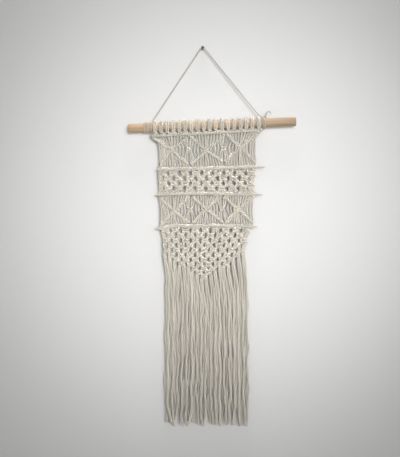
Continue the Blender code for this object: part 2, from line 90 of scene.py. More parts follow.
# Crosses of diagonal bars: (x, z) of the crossing and of the ends of its four arms, and the share
# of an upper arm, on the panel's edge, that runs bare before its first hitch.
CROSSES = {
    "top": (
        {"middle": (-62.0, -204.6), "up_left": (-102.0, -179.5), "up_right": (-29.5, -177.5),
         "down_left": (-85.0, -232.0), "down_right": (-29.5, -233.5), "bare_left": 0.34},
        {"middle": (7.0, -206.0), "up_left": (-25.0, -177.5), "up_right": (44.5, -174.5),
         "down_left": (-24.0, -233.5), "down_right": (40.5, -229.0)},
        {"middle": (75.4, -198.4), "up_left": (48.5, -174.0), "up_right": (115.0, -171.0),
         "down_left": (44.0, -229.0), "down_right": (106.5, -232.5), "bare_right": 0.2},
    ),
    "low": (
        {"middle": (-57.2, -327.8), "up_left": (-86.0, -299.5), "up_right": (-26.0, -297.0),
         "down_left": (-83.5, -352.0), "down_right": (-25.5, -350.0)},
        {"middle": (6.8, -322.0), "up_left": (-21.5, -297.0), "up_right": (37.0, -297.0),
         "down_left": (-20.5, -350.0), "down_right": (40.5, -350.0)},
        {"middle": (71.2, -323.0), "up_left": (41.5, -297.5), "up_right": (102.5, -299.0),
         "down_left": (45.0, -350.0), "down_right": (101.5, -351.5)},
    ),
}

# Rows of square knots: the row's height, its first knot's x, the pitch, the first cord, how many knots,
# and whether two cords pass by it at each side, close beside its last knot.
NETS = {
    "upper": (
        (-251.6, -80.7, 22.2, 0, 9, False),
        (-261.8, -69.7, 21.95, 2, 8, True),
        (-271.8, -79.4, 21.86, 0, 9, False),
        (-281.6, -69.2, 21.44, 2, 8, True),
    ),
    "lower": (
        (-365.6, -74.7, 20.05, 0, 9, False),
        (-375.6, -63.8, 19.63, 2, 8, True),
        (-385.6, -72.0, 19.17, 0, 9, False),
        (-395.2, -62.9, 18.93, 2, 8, True),
        (-405.0, -71.0, 18.52, 0, 9, False),
        (-414.6, -61.8, 18.36, 2, 8, False),
        (-424.0, -51.2, 17.98, 4, 7, False),
        (-432.8, -41.5, 17.68, 6, 6, False),
        (-441.4, -15.2, 17.8, 12, 3, False),
        (-449.6, -6.2, 17.8, 14, 2, False),
        (-457.8, 2.6, 17.8, 16, 1, False),
    ),
}

# A square knot's two working cords, top half, as (across, up, out): one goes over the two filler
# cords from the left and back again, and the other goes behind them and shows as a bar at the left.
OVER_CORD = ((-7.4, 5.0, 0.9), (-4.6, 3.7, 2.2), (-1.4, 2.6, 3.1), (1.8, 1.9, 3.2), (4.4, 1.1, 2.7),
             (5.5, 0.0, 2.2))
BEHIND_CORD = ((7.4, 5.0, 1.0), (5.2, 3.3, 2.6), (3.4, 1.9, 0.6), (1.6, 1.2, -3.2), (-1.8, 1.4, -3.2),
               (-4.2, 2.0, -0.8), (-5.4, 1.6, 1.7), (-5.5, 0.0, 2.7))
FILLER = ((3.6, 6.1, 0.7), (2.3, 4.6, 0.4), (2.2, 2.0, 0.0), (2.2, -2.0, 0.0), (2.3, -4.6, 0.4),
          (3.6, -6.1, 0.7))


# ---- places on the panel ----
def along(line, x):
    """Height of a line of (x, z) at x; it runs on straight past its ends."""
    for start, end in zip(line, line[1:]):
        if x <= end[0]:
            break
    return start[1] + (x - start[0]) / (end[0] - start[0]) * (end[1] - start[1])


def between(a, b, share):
    return tuple(p + share * (q - p) for p, q in zip(a, b))


def spread(reach, number):
    """x of a cord, 0 to 35, where the cords are spread evenly over this reach."""
    return reach[0] + number / (CORDS - 1) * (reach[1] - reach[0])


def on_bar(bar, number):
    x = spread(BARS[bar]["reach"], number)
    return x, along(BARS[bar]["line"], x)


def rod_z(x):
    return ROD_MIDDLE[1] + (x - ROD_MIDDLE[0]) * math.tan(ROD_TILT)


# ---- cords ----
# Each piece of cord work: the seed of its small differences, and its cords' share of their own
# thickness, which is less where they are pulled tight.
CORD_WORKS = {
    "hanging_cord_twisted": (11, 1.0),
    "larks_head_knots": (21, 1.0),
    "level_bars": (31, 0.74),
    "diamond_band_top": (41, 0.9),
    "diamond_band_low": (42, 0.9),
    "square_knots_upper": (51, 0.98),
    "square_knots_pointed": (52, 0.98),
    "fringe_cords": (61, 0.98),
    "fringe_tips": (62, 1.0),
}
REACH = 2.5  # a bend runs into a long leg by at most this share of the leg before it
FINE = 12  # places to a leg of a route before they are spaced evenly
PLY = (0.78, 1.0, 1.0)  # one ply's share of a cord's section: its groove and its round back
ROUND = (1.0, 1.0, 1.0)


def smooth(route, step):
    """Places an even step apart on a smooth curve through the route, and how far along each is."""
    route = np.asarray(route, float)
    legs = np.linalg.norm(np.diff(route[:, :3], axis=0), axis=1)
    pace = np.diff(route, axis=0) / legs[:, None]
    inner = (legs[1:, None] * pace[:-1] + legs[:-1, None] * pace[1:]) / (legs[1:] + legs[:-1])[:, None]
    heading = np.vstack([pace[:1], inner, pace[-1:]])
    before = np.minimum(legs, REACH * np.concatenate([legs[:1], legs[:-1]]))
    after = np.minimum(legs, REACH * np.concatenate([legs[1:], legs[-1:]]))
    t = np.linspace(0.0, 1.0, FINE, endpoint=False)[:, None]
    pieces = []
    for a, b, u, v, start, end in zip(route, route[1:], heading, heading[1:], before, after):
        pieces.append((2 * t**3 - 3 * t**2 + 1) * a + (3 * t**2 - 2 * t**3) * b
                      + (t**3 - 2 * t**2 + t) * start * u + (t**3 - t**2) * end * v)
    fine = np.vstack([*pieces, route[-1:]])
    run = np.concatenate([[0.0], np.cumsum(np.linalg.norm(np.diff(fine[:, :3], axis=0), axis=1))])
    stops = np.linspace(0.0, run[-1], max(3, round(run[-1] / step) + 1))
    return np.column_stack([np.interp(stops, run, fine[:, k]) for k in range(4)]), stops


def frames_along(centres):
    """Two directions square to the line at each place, which turn no more than the line makes them."""
    ahead = np.gradient(centres, axis=0)
    ahead /= np.linalg.norm(ahead, axis=1)[:, None]
    starts_outwards = abs(ahead[0][1]) >= 0.9
    side = np.array((1.0, 0.0, 0.0)) if starts_outwards else np.array((0.0, -1.0, 0.0))
    sides = []
    for direction in ahead:
        side = side - side.dot(direction) * direction
        side = side / math.sqrt(side.dot(side))
        sides.append(side)
    sides = np.array(sides)
    return sides, np.cross(ahead, sides)


def tube_faces(rows, sides, first=0):
    """Faces between rings of places, and one across each end."""
    grid = first + np.arange(rows * sides).reshape(rows, sides)
    beside = np.roll(grid, -1, axis=1)
    quads = np.stack([grid[:-1], beside[:-1], beside[1:], grid[1:]], axis=-1).reshape(-1, 4)
    return [*quads.tolist(), grid[0][::-1].tolist(), grid[-1].tolist()]


class CordWork:
    """Twisted cords that are gathered into one mesh."""

    def __init__(self, name, thickness, turn, step):
        seed, share = CORD_WORKS[name]
        self.name = name
        self.radius = thickness * share / 2
        self.turn = turn
        self.step = step
        self.chance = np.random.default_rng(seed)
        self.places = []
        self.grooves = []
        self.tones = []
        self.faces = []
        self.corners = []
        self.count = 0

    def lay(self, route, plies=3, outline=PLY, out_is_y=False):
        """Sweeps one cord along a route, and turns its section as it goes."""
        line, run = smooth(route, self.step)
        centres = line[:, :3].copy()
        if not out_is_y:
            centres[:, 1] = WEAVE_Y - centres[:, 1]
        side, over = frames_along(centres)
        section = np.tile(outline, plies)
        sides = len(section)
        rows = len(centres)
        start = self.chance.uniform(0.0, math.tau)
        around = start + math.tau * np.arange(sides) / sides
        angle = around[None, :] + (math.tau * run / self.turn)[:, None]
        radius = self.radius * line[:, 3][:, None] * section[None, :]
        rings = (centres[:, None, :] + (radius * np.cos(angle))[..., None] * side[:, None, :]
                 + (radius * np.sin(angle))[..., None] * over[:, None, :])
        self.places.append(rings.reshape(-1, 3) * MM)
        self.faces += tube_faces(rows, sides, self.count)
        self.add_corners(run * MM, sides)
        # How deep each place lies in a ply groove: the mask by which the cotton finish paints shade into the
        # grooves.
        depth = 1.0 - section
        if depth.max() > 0.0:
            depth /= depth.max()
        self.grooves.append(np.tile(depth, rows))
        self.tones.append(np.full(rows * sides, self.chance.uniform(0.0, 1.0)))
        self.count += rows * sides

    def add_corners(self, v, sides):
        """Map coordinates of those faces' corners: u once round the cord, v its length in metres."""
        rows = len(v)
        u = np.arange(sides + 1) / sides
        low_u, high_u = np.tile(u[:-1], rows - 1), np.tile(u[1:], rows - 1)
        low_v, high_v = np.repeat(v[:-1], sides), np.repeat(v[1:], sides)
        quads = np.stack([low_u, low_v, high_u, low_v, high_u, high_v, low_u, high_v], axis=-1)
        end = np.column_stack([u[:-1], np.zeros(sides)])
        self.corners += [quads.ravel(), (end + (0.0, v[0])).ravel(), (end + (0.0, v[-1])).ravel()]

    def finish(self, finish, replaces=()):
        """Makes the mesh, gives it its finish and ties it to the frame."""
        mesh = bpy.data.meshes.new(self.name)
        mesh.from_pydata(np.vstack(self.places).tolist(), [], self.faces)
        layer = mesh.uv_layers.new(name="along_cord")
        layer.data.foreach_set("uv", np.concatenate(self.corners).astype(np.float32))
        # The first attribute is the mask of the painted shade in the ply grooves, the second each cord's own
        # tone.
        for name, values in (("ply_groove_shade", self.grooves), ("cord_tone", self.tones)):
            kept = mesh.attributes.new(name, "FLOAT", "POINT")
            kept.data.foreach_set("value", np.concatenate(values).astype(np.float32))
        mesh.shade_smooth()
        mesh.validate()
        return join_frame(self.name, mesh, finish, replaces)


def join_frame(name, mesh, finish, replaces=()):
    """Links a mesh as a piece of the hanging."""
    piece = bpy.data.objects.new(name, mesh)
    bpy.context.scene.collection.objects.link(piece)
    mesh.materials.append(finish)
    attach(piece, "root")
    if replaces:
        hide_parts(*replaces)
    return piece


def cotton_work(context, name):
    """Cord work in the knotting cord."""
    sizes = context.scene.macrame_sizes
    return CordWork(name, sizes.cord_thickness / MM, sizes.ply_turn / MM, sizes.sweep_step / MM)


# ---- knots ----
# A double half hitch goes twice round its filler. Angles are in degrees from its front, over its
# top: the cord comes down behind the filler, and each pass at its front stands beside the last.
HITCH_TURNS = np.array((120, 180, 270, 315, 360, 405, 450, 540, 630, 675, 720, 765, 810, 880, 950), float)
HITCH_SIDES = ((120, 0.0), (270, -1.0), (400, -1.0), (680, 1.0), (850, 1.0), (950, 0.0))  # angle, side


def hitch(x, z, slope, aside, loop, size, out):
    """The part of a route that ties a cord to a filler that passes x, z at this slope."""
    ahead = np.array((math.cos(slope), math.sin(slope)))
    up = np.array((-math.sin(slope), math.cos(slope)))
    turns, sides = zip(*HITCH_SIDES)
    shift = np.interp(HITCH_TURNS, turns, aside * np.array(sides))
    points = []
    for turn, beside in zip(np.radians(HITCH_TURNS), shift):
        place = np.array((x, z)) + beside * ahead + loop * math.sin(turn) * up
        points.append((place[0], out + loop * math.cos(turn), place[1], size))
    return points


def square_knot(x, z, wide, high, tilt=0.0, size=0.95):
    """Routes of a square knot's cords through it: its left and right working cords and two fillers."""
    def placed(points, side=1.0, flip=1.0):
        made = []
        for across, up, out in points:
            a = side * across * wide
            b = flip * up * high
            made.append((x + a * math.cos(tilt) - b * math.sin(tilt), out,
                         z + a * math.sin(tilt) + b * math.cos(tilt), size))
        return made
    over = placed(OVER_CORD) + placed(OVER_CORD[-2::-1], flip=-1.0)
    behind = placed(BEHIND_CORD) + placed(BEHIND_CORD[-2::-1], flip=-1.0)
    return over, behind, placed(FILLER, side=-1.0), placed(FILLER)


# ---- finishes ----
MIX_A = 6  # sockets of a Mix node that mixes colours
MIX_B = 7
MIX_RESULT = 2


def new_material(name):
    made = bpy.data.materials.new(name)
    made.use_nodes = True
    return made, made.node_tree, made.node_tree.nodes["Principled BSDF"]


def fill(node, inputs):
    """Sets constants on a node's sockets, each by its name or number."""
    for socket, value in inputs.items():
        node.inputs[socket].default_value = value


def add_node(tree, kind, inputs=None, **values):
    made = tree.nodes.new(kind)
    for name, value in values.items():
        setattr(made, name, value)
    fill(made, inputs or {})
    return made


def join(tree, *links):
    """Makes links, each given as a node, its output, the next node and its input."""
    for source, output, target, socket in links:
        tree.links.new(source.outputs[output], target.inputs[socket])


def group_of(name, inputs, outputs):
    """An empty node group with these sockets, and its ends."""
    tree = bpy.data.node_groups.new(name, "ShaderNodeTree")
    for label, kind, default in inputs:
        socket = tree.interface.new_socket(name=label, in_out="INPUT", socket_type=kind)
        socket.default_value = default
    for label, kind in outputs:
        tree.interface.new_socket(name=label, in_out="OUTPUT", socket_type=kind)
    return tree, tree.nodes.new("NodeGroupInput"), tree.nodes.new("NodeGroupOutput")


def slow_mottle():
    """Group: a colour that drifts softly between two shades over the surface."""
    known = bpy.data.node_groups.get("slow_mottle")
    if known:
        return known
    tree, given, out = group_of(
        "slow_mottle",
        (("Light", "NodeSocketColor", (1, 1, 1, 1)), ("Dark", "NodeSocketColor", (0, 0, 0, 1)),
         ("Scale", "NodeSocketFloat", 10.0), ("Amount", "NodeSocketFloat", 0.5)),
        (("Color", "NodeSocketColor"),))
    coordinates = add_node(tree, "ShaderNodeTexCoord")
    noise = add_node(tree, "ShaderNodeTexNoise", {"Detail": 3.0})
    part = add_node(tree, "ShaderNodeMath", operation="MULTIPLY")
    mix = add_node(tree, "ShaderNodeMix", data_type="RGBA")
    join(tree,
         (coordinates, "Object", noise, "Vector"), (given, "Scale", noise, "Scale"),
         (noise, "Fac", part, 0), (given, "Amount", part, 1), (part, 0, mix, "Factor"),
         (given, "Light", mix, MIX_A), (given, "Dark", mix, MIX_B), (mix, MIX_RESULT, out, "Color"))
    return tree


def mottle_between(tree, light, dark, scale, amount=0.5):
    """A slow_mottle node between two colours."""
    inputs = {"Light": (*light, 1.0), "Dark": (*dark, 1.0), "Scale": scale, "Amount": amount}
    return add_node(tree, "ShaderNodeGroup", inputs, node_tree=slow_mottle())


def spun_fibres():
    """Group: height of fibres that lie along a cord's plies, and how much shade to paint there: painted
    shade in the ply grooves and a little fibre mottle.
    """
    known = bpy.data.node_groups.get("spun_fibres")
    if known:
        return known
    tree, given, out = group_of(
        "spun_fibres",
        (("Fineness", "NodeSocketFloat", 1.0), ("Groove", "NodeSocketFloat", 0.0)),
        (("Height", "NodeSocketFloat"), ("Shade", "NodeSocketFloat")))
    where = add_node(tree, "ShaderNodeUVMap", uv_map="along_cord")
    drawn = add_node(tree, "ShaderNodeMapping", {"Scale": (26.0, 420.0, 1.0)})
    finer = add_node(tree, "ShaderNodeVectorMath", operation="SCALE")
    noise = add_node(tree, "ShaderNodeTexNoise", {"Scale": 1.0, "Detail": 4.0, "Roughness": 0.65})
    shade = add_node(tree, "ShaderNodeMapRange", {"From Min": 0.35, "From Max": 0.75, "To Max": 0.35})
    # Painted shade: the groove mask, with a little of the fibre mottle, sets how far the cotton's colour is
    # darkened.
    deep = add_node(tree, "ShaderNodeMath", {1: 0.75}, operation="MULTIPLY_ADD", use_clamp=True)
    join(tree,
         (where, "UV", drawn, "Vector"), (drawn, "Vector", finer, 0), (given, "Fineness", finer, "Scale"),
         (finer, "Vector", noise, "Vector"), (noise, "Fac", out, "Height"), (noise, "Fac", shade, "Value"),
         (given, "Groove", deep, 0), (shade, "Result", deep, 2), (deep, 0, out, "Shade"))
    return tree


def cotton(name, light, dark, fineness):
    """Spun cotton: fibres along the plies, painted shade in the grooves between them, and a little of its
    own tone to each cord.
    """
    known = bpy.data.materials.get(name)
    if known:
        return known
    made, tree, shader = new_material(name)
    mottle = mottle_between(tree, light, between(light, dark, 0.25), 24.0, 0.9)
    # Painted shade: by the ply groove mask and a little fibre mottle, the colour is darkened towards the
    # dark colour in the grooves between plies.
    groove = add_node(tree, "ShaderNodeAttribute", attribute_name="ply_groove_shade")
    fibres = add_node(tree, "ShaderNodeGroup", {"Fineness": fineness}, node_tree=spun_fibres())
    tone = add_node(tree, "ShaderNodeAttribute", attribute_name="cord_tone")
    own = add_node(tree, "ShaderNodeMapRange", {"To Min": 0.93, "To Max": 1.04})
    shaded = add_node(tree, "ShaderNodeMix", {MIX_B: (*dark, 1.0)}, data_type="RGBA")
    toned = add_node(tree, "ShaderNodeVectorMath", operation="SCALE")
    bump = add_node(tree, "ShaderNodeBump", {"Distance": 0.0004, "Strength": 0.6})
    join(tree,
         (groove, "Fac", fibres, "Groove"), (fibres, "Shade", shaded, "Factor"),
         (mottle, "Color", shaded, MIX_A), (shaded, MIX_RESULT, toned, 0),
         (tone, "Fac", own, "Value"), (own, "Result", toned, "Scale"),
         (toned, "Vector", shader, "Base Color"),
         (fibres, "Height", bump, "Height"), (bump, "Normal", shader, "Normal"))
    fill(shader, {"Roughness": 0.92, "Diffuse Roughness": 1.0, "Specular IOR Level": 0.15,
                  "Sheen Weight": 0.15, "Sheen Roughness": 0.6})
    return made


def knotting_cotton(context):
    finishes = context.scene.macrame_finishes
    return cotton("cream_cotton", finishes.cotton_light, finishes.cotton_groove_shade, 1.0)


def pale_wood(light, dark):
    """Sanded softwood: long grain with darker streaks along the dowel, darker towards its right end."""
    made, tree, shader = new_material("pale_wood")
    coordinates = add_node(tree, "ShaderNodeTexCoord")
    lie = add_node(tree, "ShaderNodeMapping", {
        "Rotation": (0.0, ROD_TILT, 0.0), "Scale": (9.0, 420.0, 420.0)})
    grain = add_node(tree, "ShaderNodeTexNoise", {"Scale": 1.0, "Detail": 5.0})
    ramp = add_node(tree, "ShaderNodeValToRGB")
    for stop, place, colour in zip(ramp.color_ramp.elements, (0.32, 0.62), (dark, light)):
        stop.position = place
        stop.color = (*colour, 1.0)
    ends = add_node(tree, "ShaderNodeSeparateXYZ")
    # The colour is darkened along x towards the dowel's right end.
    darker_to_right = add_node(tree, "ShaderNodeMapRange", {
        "From Min": ROD_MIDDLE[0] * MM, "From Max": (ROD_MIDDLE[0] + ROD_LENGTH / 2) * MM,
        "To Min": 1.0, "To Max": 0.74})
    toned = add_node(tree, "ShaderNodeVectorMath", operation="SCALE")
    bump = add_node(tree, "ShaderNodeBump", {"Distance": 0.0003, "Strength": 0.35})
    rough = add_node(tree, "ShaderNodeMapRange", {"To Min": 0.56, "To Max": 0.44})
    join(tree,
         (coordinates, "Object", lie, "Vector"), (lie, "Vector", grain, "Vector"),
         (coordinates, "Object", ends, "Vector"), (ends, "X", darker_to_right, "Value"),
         (grain, "Fac", ramp, "Fac"), (ramp, "Color", toned, 0), (darker_to_right, "Result", toned, "Scale"),
         (toned, "Vector", shader, "Base Color"),
         (grain, "Fac", rough, "Value"), (rough, "Result", shader, "Roughness"),
         (grain, "Fac", bump, "Height"), (bump, "Normal", shader, "Normal"))
    fill(shader, {"Specular IOR Level": 0.5, "Coat Weight": 0.35, "Coat Roughness": 0.6, "Coat IOR": 1.7})
    return made


def dark_steel(colour):
    """Blued nail steel with darker and duller patches."""
    made, tree, shader = new_material("dark_steel")
    mottle = mottle_between(tree, colour, [0.5 * part for part in colour], 900.0)
    coordinates = add_node(tree, "ShaderNodeTexCoord")
    patches = add_node(tree, "ShaderNodeTexNoise", {"Scale": 1400.0})
    rough = add_node(tree, "ShaderNodeMapRange", {"To Min": 0.3, "To Max": 0.55})
    join(tree,
         (coordinates, "Object", patches, "Vector"), (patches, "Fac", rough, "Value"),
         (rough, "Result", shader, "Roughness"), (mottle, "Color", shader, "Base Color"))
    fill(shader, {"Metallic": 0.8})
    return made


def studio_paint(name, colour, scale, clear_from_behind=False):
    """Matt paint, nearly even. The wall's is clear from behind, so that the back can be seen."""
    made, tree, shader = new_material(name)
    mottle = mottle_between(tree, colour, [0.97 * part for part in colour], scale)
    join(tree, (mottle, "Color", shader, "Base Color"))
    fill(shader, {"Roughness": 0.95, "Specular IOR Level": 0.1})
    if clear_from_behind:
        facing = add_node(tree, "ShaderNodeNewGeometry")
        clear = add_node(tree, "ShaderNodeBsdfTransparent")
        either = add_node(tree, "ShaderNodeMixShader")
        join(tree,
             (facing, "Backfacing", either, 0), (shader, 0, either, 1), (clear, 0, either, 2),
             (either, 0, tree.nodes["Material Output"], "Surface"))
    return made


# ---- settings ----
class MacrameSizes(bpy.types.PropertyGroup):
    cord_thickness: FloatProperty(
        name="Cord thickness", description="Thickness of the cotton cord that is knotted",
        default=0.005, unit="LENGTH")
    ply_turn: FloatProperty(
        name="Ply turn", description="Length of cord in which its plies turn once",
        default=0.013, unit="LENGTH")
    sweep_step: FloatProperty(
        name="Sweep step", description="Distance between two rings of a cord's mesh",
        default=0.0018, unit="LENGTH")
    hanger_thickness: FloatProperty(
        name="Hanging cord thickness", description="Thickness of the cord that goes over the nail",
        default=0.0026, unit="LENGTH")
    fringe_bottom: FloatProperty(
        name="Fringe ends", description="Mean height of the fringe's cut ends",
        default=-0.7475, unit="LENGTH")
    unevenness: FloatProperty(
        name="Unevenness", description="How far a knot strays from its place",
        default=0.00045, unit="LENGTH")


class MacrameFinishes(bpy.types.PropertyGroup):
    cotton_light: FloatVectorProperty(
        name="Cotton", description="Colour of the cotton's plies",
        subtype="COLOR", default=(0.765, 0.735, 0.665))
    # Painted shade: the colour that the grooves between the plies are darkened to. The hanging cord's colour
    # is also painted half way towards it.
    cotton_groove_shade: FloatVectorProperty(
        name="Cotton groove", description="Colour of the cotton between its plies",
        subtype="COLOR", default=(0.47, 0.43, 0.365))
    wood_light: FloatVectorProperty(
        name="Wood", description="Colour of the dowel's pale grain",
        subtype="COLOR", default=(0.52, 0.365, 0.22))
    wood_dark: FloatVectorProperty(
        name="Wood streak", description="Colour of the dowel's dark grain",
        subtype="COLOR", default=(0.36, 0.235, 0.125))
    steel: FloatVectorProperty(
        name="Nail", description="Colour of the nail",
        subtype="COLOR", default=(0.06, 0.06, 0.065))
    wall: FloatVectorProperty(
        name="Wall", description="Colour of the studio's wall",
        subtype="COLOR", default=(0.74, 0.74, 0.74))
    floor: FloatVectorProperty(
        name="Floor", description="Colour of the studio's floor",
        subtype="COLOR", default=(0.78, 0.77, 0.75))


# ---- pieces ----
class MACRAME_OT_dowel(bpy.types.Operator):
    """Finish the wooden dowel"""
    bl_idname = "macrame.dowel"
    bl_label = "Dowel"

    SIDES = 48
    EDGE = ((0.0, 0.87), (0.5, 0.95), (1.3, 1.0))  # distance from an end, and share of the radius there
    EVEN = 8.0  # from an end to the even length
    OUT_OF_ROUND = 0.008

    def execute(self, context):
        finishes = context.scene.macrame_finishes
        rings = self.rings()
        mesh = bpy.data.meshes.new("dowel")
        mesh.from_pydata([place for ring in rings for place in ring], [], tube_faces(len(rings), self.SIDES))
        mesh.shade_smooth()
        mesh.set_sharp_from_angle(angle=math.radians(35))
        wood = pale_wood(finishes.wood_light, finishes.wood_dark)
        join_frame("dowel", mesh, wood, ("wooden_rod",))
        return {"FINISHED"}

    def rings(self):
        """Rings of the dowel from its left end: a sawn face, a broken edge and a nearly even length."""
        half = ROD_LENGTH / 2
        stations = [(-half + far, share) for far, share in self.EDGE]
        stations += [(x, 1.0) for x in np.linspace(-half + self.EVEN, half - self.EVEN, 24)]
        stations += [(half - far, share) for far, share in reversed(self.EDGE)]
        turn = Matrix.Rotation(-ROD_TILT, 4, "Y")
        middle = (ROD_MIDDLE[0], WEAVE_Y, ROD_MIDDLE[1])
        rings = []
        for x, share in stations:
            ring = []
            for n in range(self.SIDES):
                angle = math.tau * n / self.SIDES
                radius = ROD_RADIUS * share * (1 + self.OUT_OF_ROUND * math.sin(2 * angle + 0.03 * x))
                place = turn @ Vector((x, -radius * math.cos(angle), radius * math.sin(angle)))
                ring.append(tuple(MM * (a + b) for a, b in zip(middle, place)))
            rings.append(ring[::-1])
        return rings


class MACRAME_OT_nail(bpy.types.Operator):
    """Finish the nail"""
    bl_idname = "macrame.nail"
    bl_label = "Nail"

    def execute(self, context):
        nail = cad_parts["wall_nail"]
        nail.data.materials.clear()
        nail.data.materials.append(dark_steel(context.scene.macrame_finishes.steel))
        return {"FINISHED"}


class MACRAME_OT_hanging_cord(bpy.types.Operator):
    """Lead the hanging cord from its turns round the dowel over the nail, and tie it"""
    bl_idname = "macrame.hanging_cord"
    bl_label = "Hanging Cord"

    PLY_TURN = 8.0
    STEP = 1.1
    NAIL_RADIUS = 1.3
    OVER_NAIL_Y = -8.5
    NAIL_BEND = (-57.0, -29.0, 0.0, 27.0, 54.0)  # degrees from straight above the nail
    LEFT_TURNS = (-119.8, -136.2, 2.6)  # from, to, measured along the dowel from its middle, and how many
    RIGHT_TURNS = (101.0, 106.6, 2.0)
    STEPS = 12  # places to a turn
    ON_LAST_HEAD = (113.2, -15.5, -135.6, 0.95)  # x, y, z, share: where it rests on a lark's head
    CLEAR = 0.4  # room left between this cord and what it goes round
    TIED_AT = 107.2
    TIES = ((0.0, 1.0), (2.1, 0.95))  # first angle and share of the tie's two loops
    TIE_RADIUS = 1.9
    TIE_RUN = 3.2  # how far along the dowel a loop runs
    TIE_STEPS = 8
    TAIL = ((1.6, -1.0, 5.5), (4.6, -2.0, 10.0), (7.8, -2.6, 10.6), (9.6, -2.8, 7.8))  # x, y, z from the tie
    HAIRS = 9

    def execute(self, context):
        finishes = context.scene.macrame_finishes
        thick = context.scene.macrame_sizes.hanger_thickness / MM
        work = CordWork("hanging_cord_twisted", thick, self.PLY_TURN, self.STEP)
        bend = self.NAIL_RADIUS + self.CLEAR + thick / 2
        over_nail = [(bend * math.sin(turn), self.OVER_NAIL_Y, bend * math.cos(turn), 0.95)
                     for turn in map(math.radians, self.NAIL_BEND)]
        left = self.turns(*self.LEFT_TURNS, thick)
        right = self.turns(*self.RIGHT_TURNS, thick)
        work.lay([*reversed(left), *over_nail, self.ON_LAST_HEAD, *right], out_is_y=True)
        tie_x, tie_y, tie_z = self.beside(self.TIED_AT, math.pi / 2, ROD_RADIUS + self.CLEAR + 2.6)
        for first, share in self.TIES:
            loop = []
            for n in range(self.TIE_STEPS + 1):
                turn = first + math.tau * n / self.TIE_STEPS
                loop.append((tie_x - self.TIE_RUN / 2 + self.TIE_RUN * n / self.TIE_STEPS,
                             tie_y - self.TIE_RADIUS * math.cos(turn),
                             tie_z + self.TIE_RADIUS * math.sin(turn), share))
            work.lay(loop, out_is_y=True)
        tail = [(tie_x + x, tie_y + y, tie_z + z, 1.0) for x, y, z in ((0.0, 0.0, 0.0), *self.TAIL)]
        work.lay(tail, out_is_y=True)
        end = np.array(tail[-1][:3])
        for _ in range(self.HAIRS):
            lean = work.chance.uniform(-1.0, 1.0, 3) * (1.6, 1.6, 1.0)
            hair = [(*(end + (-0.5, 0.1, 1.2)), 0.3), (*(end + (0.2, 0, -0.6) + 0.4 * lean), 0.26),
                    (*(end + (0.9, -0.3, -2.6) + lean), 0.12)]
            work.lay(hair, plies=1, outline=ROUND, out_is_y=True)
        # Painted shade: the hanging cord is the same cream cotton, painted half way towards the groove shade
        # so that it reads grey as if shaded.
        painted_shade_grey = between(finishes.cotton_light, finishes.cotton_groove_shade, 0.5)
        work.finish(cotton("hanger_cotton_shaded", painted_shade_grey, finishes.cotton_groove_shade, 1.5), ("hanging_cord",))
        return {"FINISHED"}

    def beside(self, reach, turn, radius):
        """The place beside the dowel at this reach from its middle, and angle from its front up."""
        ahead = Vector((math.cos(ROD_TILT), 0.0, math.sin(ROD_TILT)))
        up = Vector((-math.sin(ROD_TILT), 0.0, math.cos(ROD_TILT)))
        front = Vector((0.0, -1.0, 0.0))
        middle = Vector((ROD_MIDDLE[0], WEAVE_Y, ROD_MIDDLE[1]))
        return tuple(middle + reach * ahead + radius * (math.cos(turn) * front + math.sin(turn) * up))

    def turns(self, first, last, count, thick):
        """Turns round the dowel that start on its top and run down its front."""
        radius = ROD_RADIUS + 0.2 + thick / 2
        number = round(count * self.STEPS)
        route = []
        for n in range(number + 1):
            reach = first + (last - first) * n / number
            route.append((*self.beside(reach, math.pi / 2 - math.tau * n / self.STEPS, radius), 1.0))
        return route


class MACRAME_OT_rod_knots(bpy.types.Operator):
    """Tie the folded cords to the dowel with lark's head knots"""
    bl_idname = "macrame.rod_knots"
    bl_label = "Lark's Head Knots"

    # Half of a knot, from its front bar up over the dowel and back under it: angle in degrees from
    # the dowel's front, distance past the dowel's face in cord thicknesses, and x.
    HALF = ((-56.0, 1.1, 0.0), (-53.0, 1.02, 1.2), (-42.0, 0.62, 2.1), (-20.0, 0.42, 1.9),
            (10.0, 0.42, 1.85), (45.0, 0.42, 1.8), (80.0, 0.42, 1.8), (115.0, 0.42, 1.8),
            (150.0, 0.42, 1.9), (185.0, 0.44, 2.1), (220.0, 0.46, 2.3), (255.0, 0.5, 2.5))

    def execute(self, context):
        work = cotton_work(context, "larks_head_knots")
        thick = 2 * work.radius
        for n in range(LARKS_HEADS):
            x = LARK_FIRST_X + n * LARK_PITCH + work.chance.uniform(-0.5, 0.5)
            z = rod_z(x)
            lean = work.chance.uniform(-0.25, 0.25)
            left = self.half(x, z, lean, thick, -1, 2 * n)
            right = self.half(x, z, lean, thick, 1, 2 * n + 1)
            work.lay([*reversed(left), *right[1:]])
        work.finish(knotting_cotton(context))
        return {"FINISHED"}

    def half(self, x, z, lean, thick, side, number):
        """One end of a folded cord, from the knot's front bar to the level bar under the dowel."""
        route = []
        for angle, past, across in self.HALF:
            turn = math.radians(angle)
            radius = ROD_RADIUS + past * thick
            route.append((x + side * across + lean * math.sin(turn), radius * math.cos(turn),
                          z + radius * math.sin(turn), 0.82))
        end_x, end_z = on_bar("under_rod", number)
        route.append((x + side * 2.4, 3.4, z - ROD_RADIUS - 2.6, 0.88))
        route.append((end_x, 4.2, end_z + 1.0, 0.8))
        return route


PAST_BAR = 3.4  # over and under a bar's line, where a cord meets the cord work beyond its hitch
IN_BAR = 1.5  # over and under a bar's line, where a cord's end is hidden in the hitches
BEHIND_BAR = 3.4  # how much deeper than the bar the cords over it lie


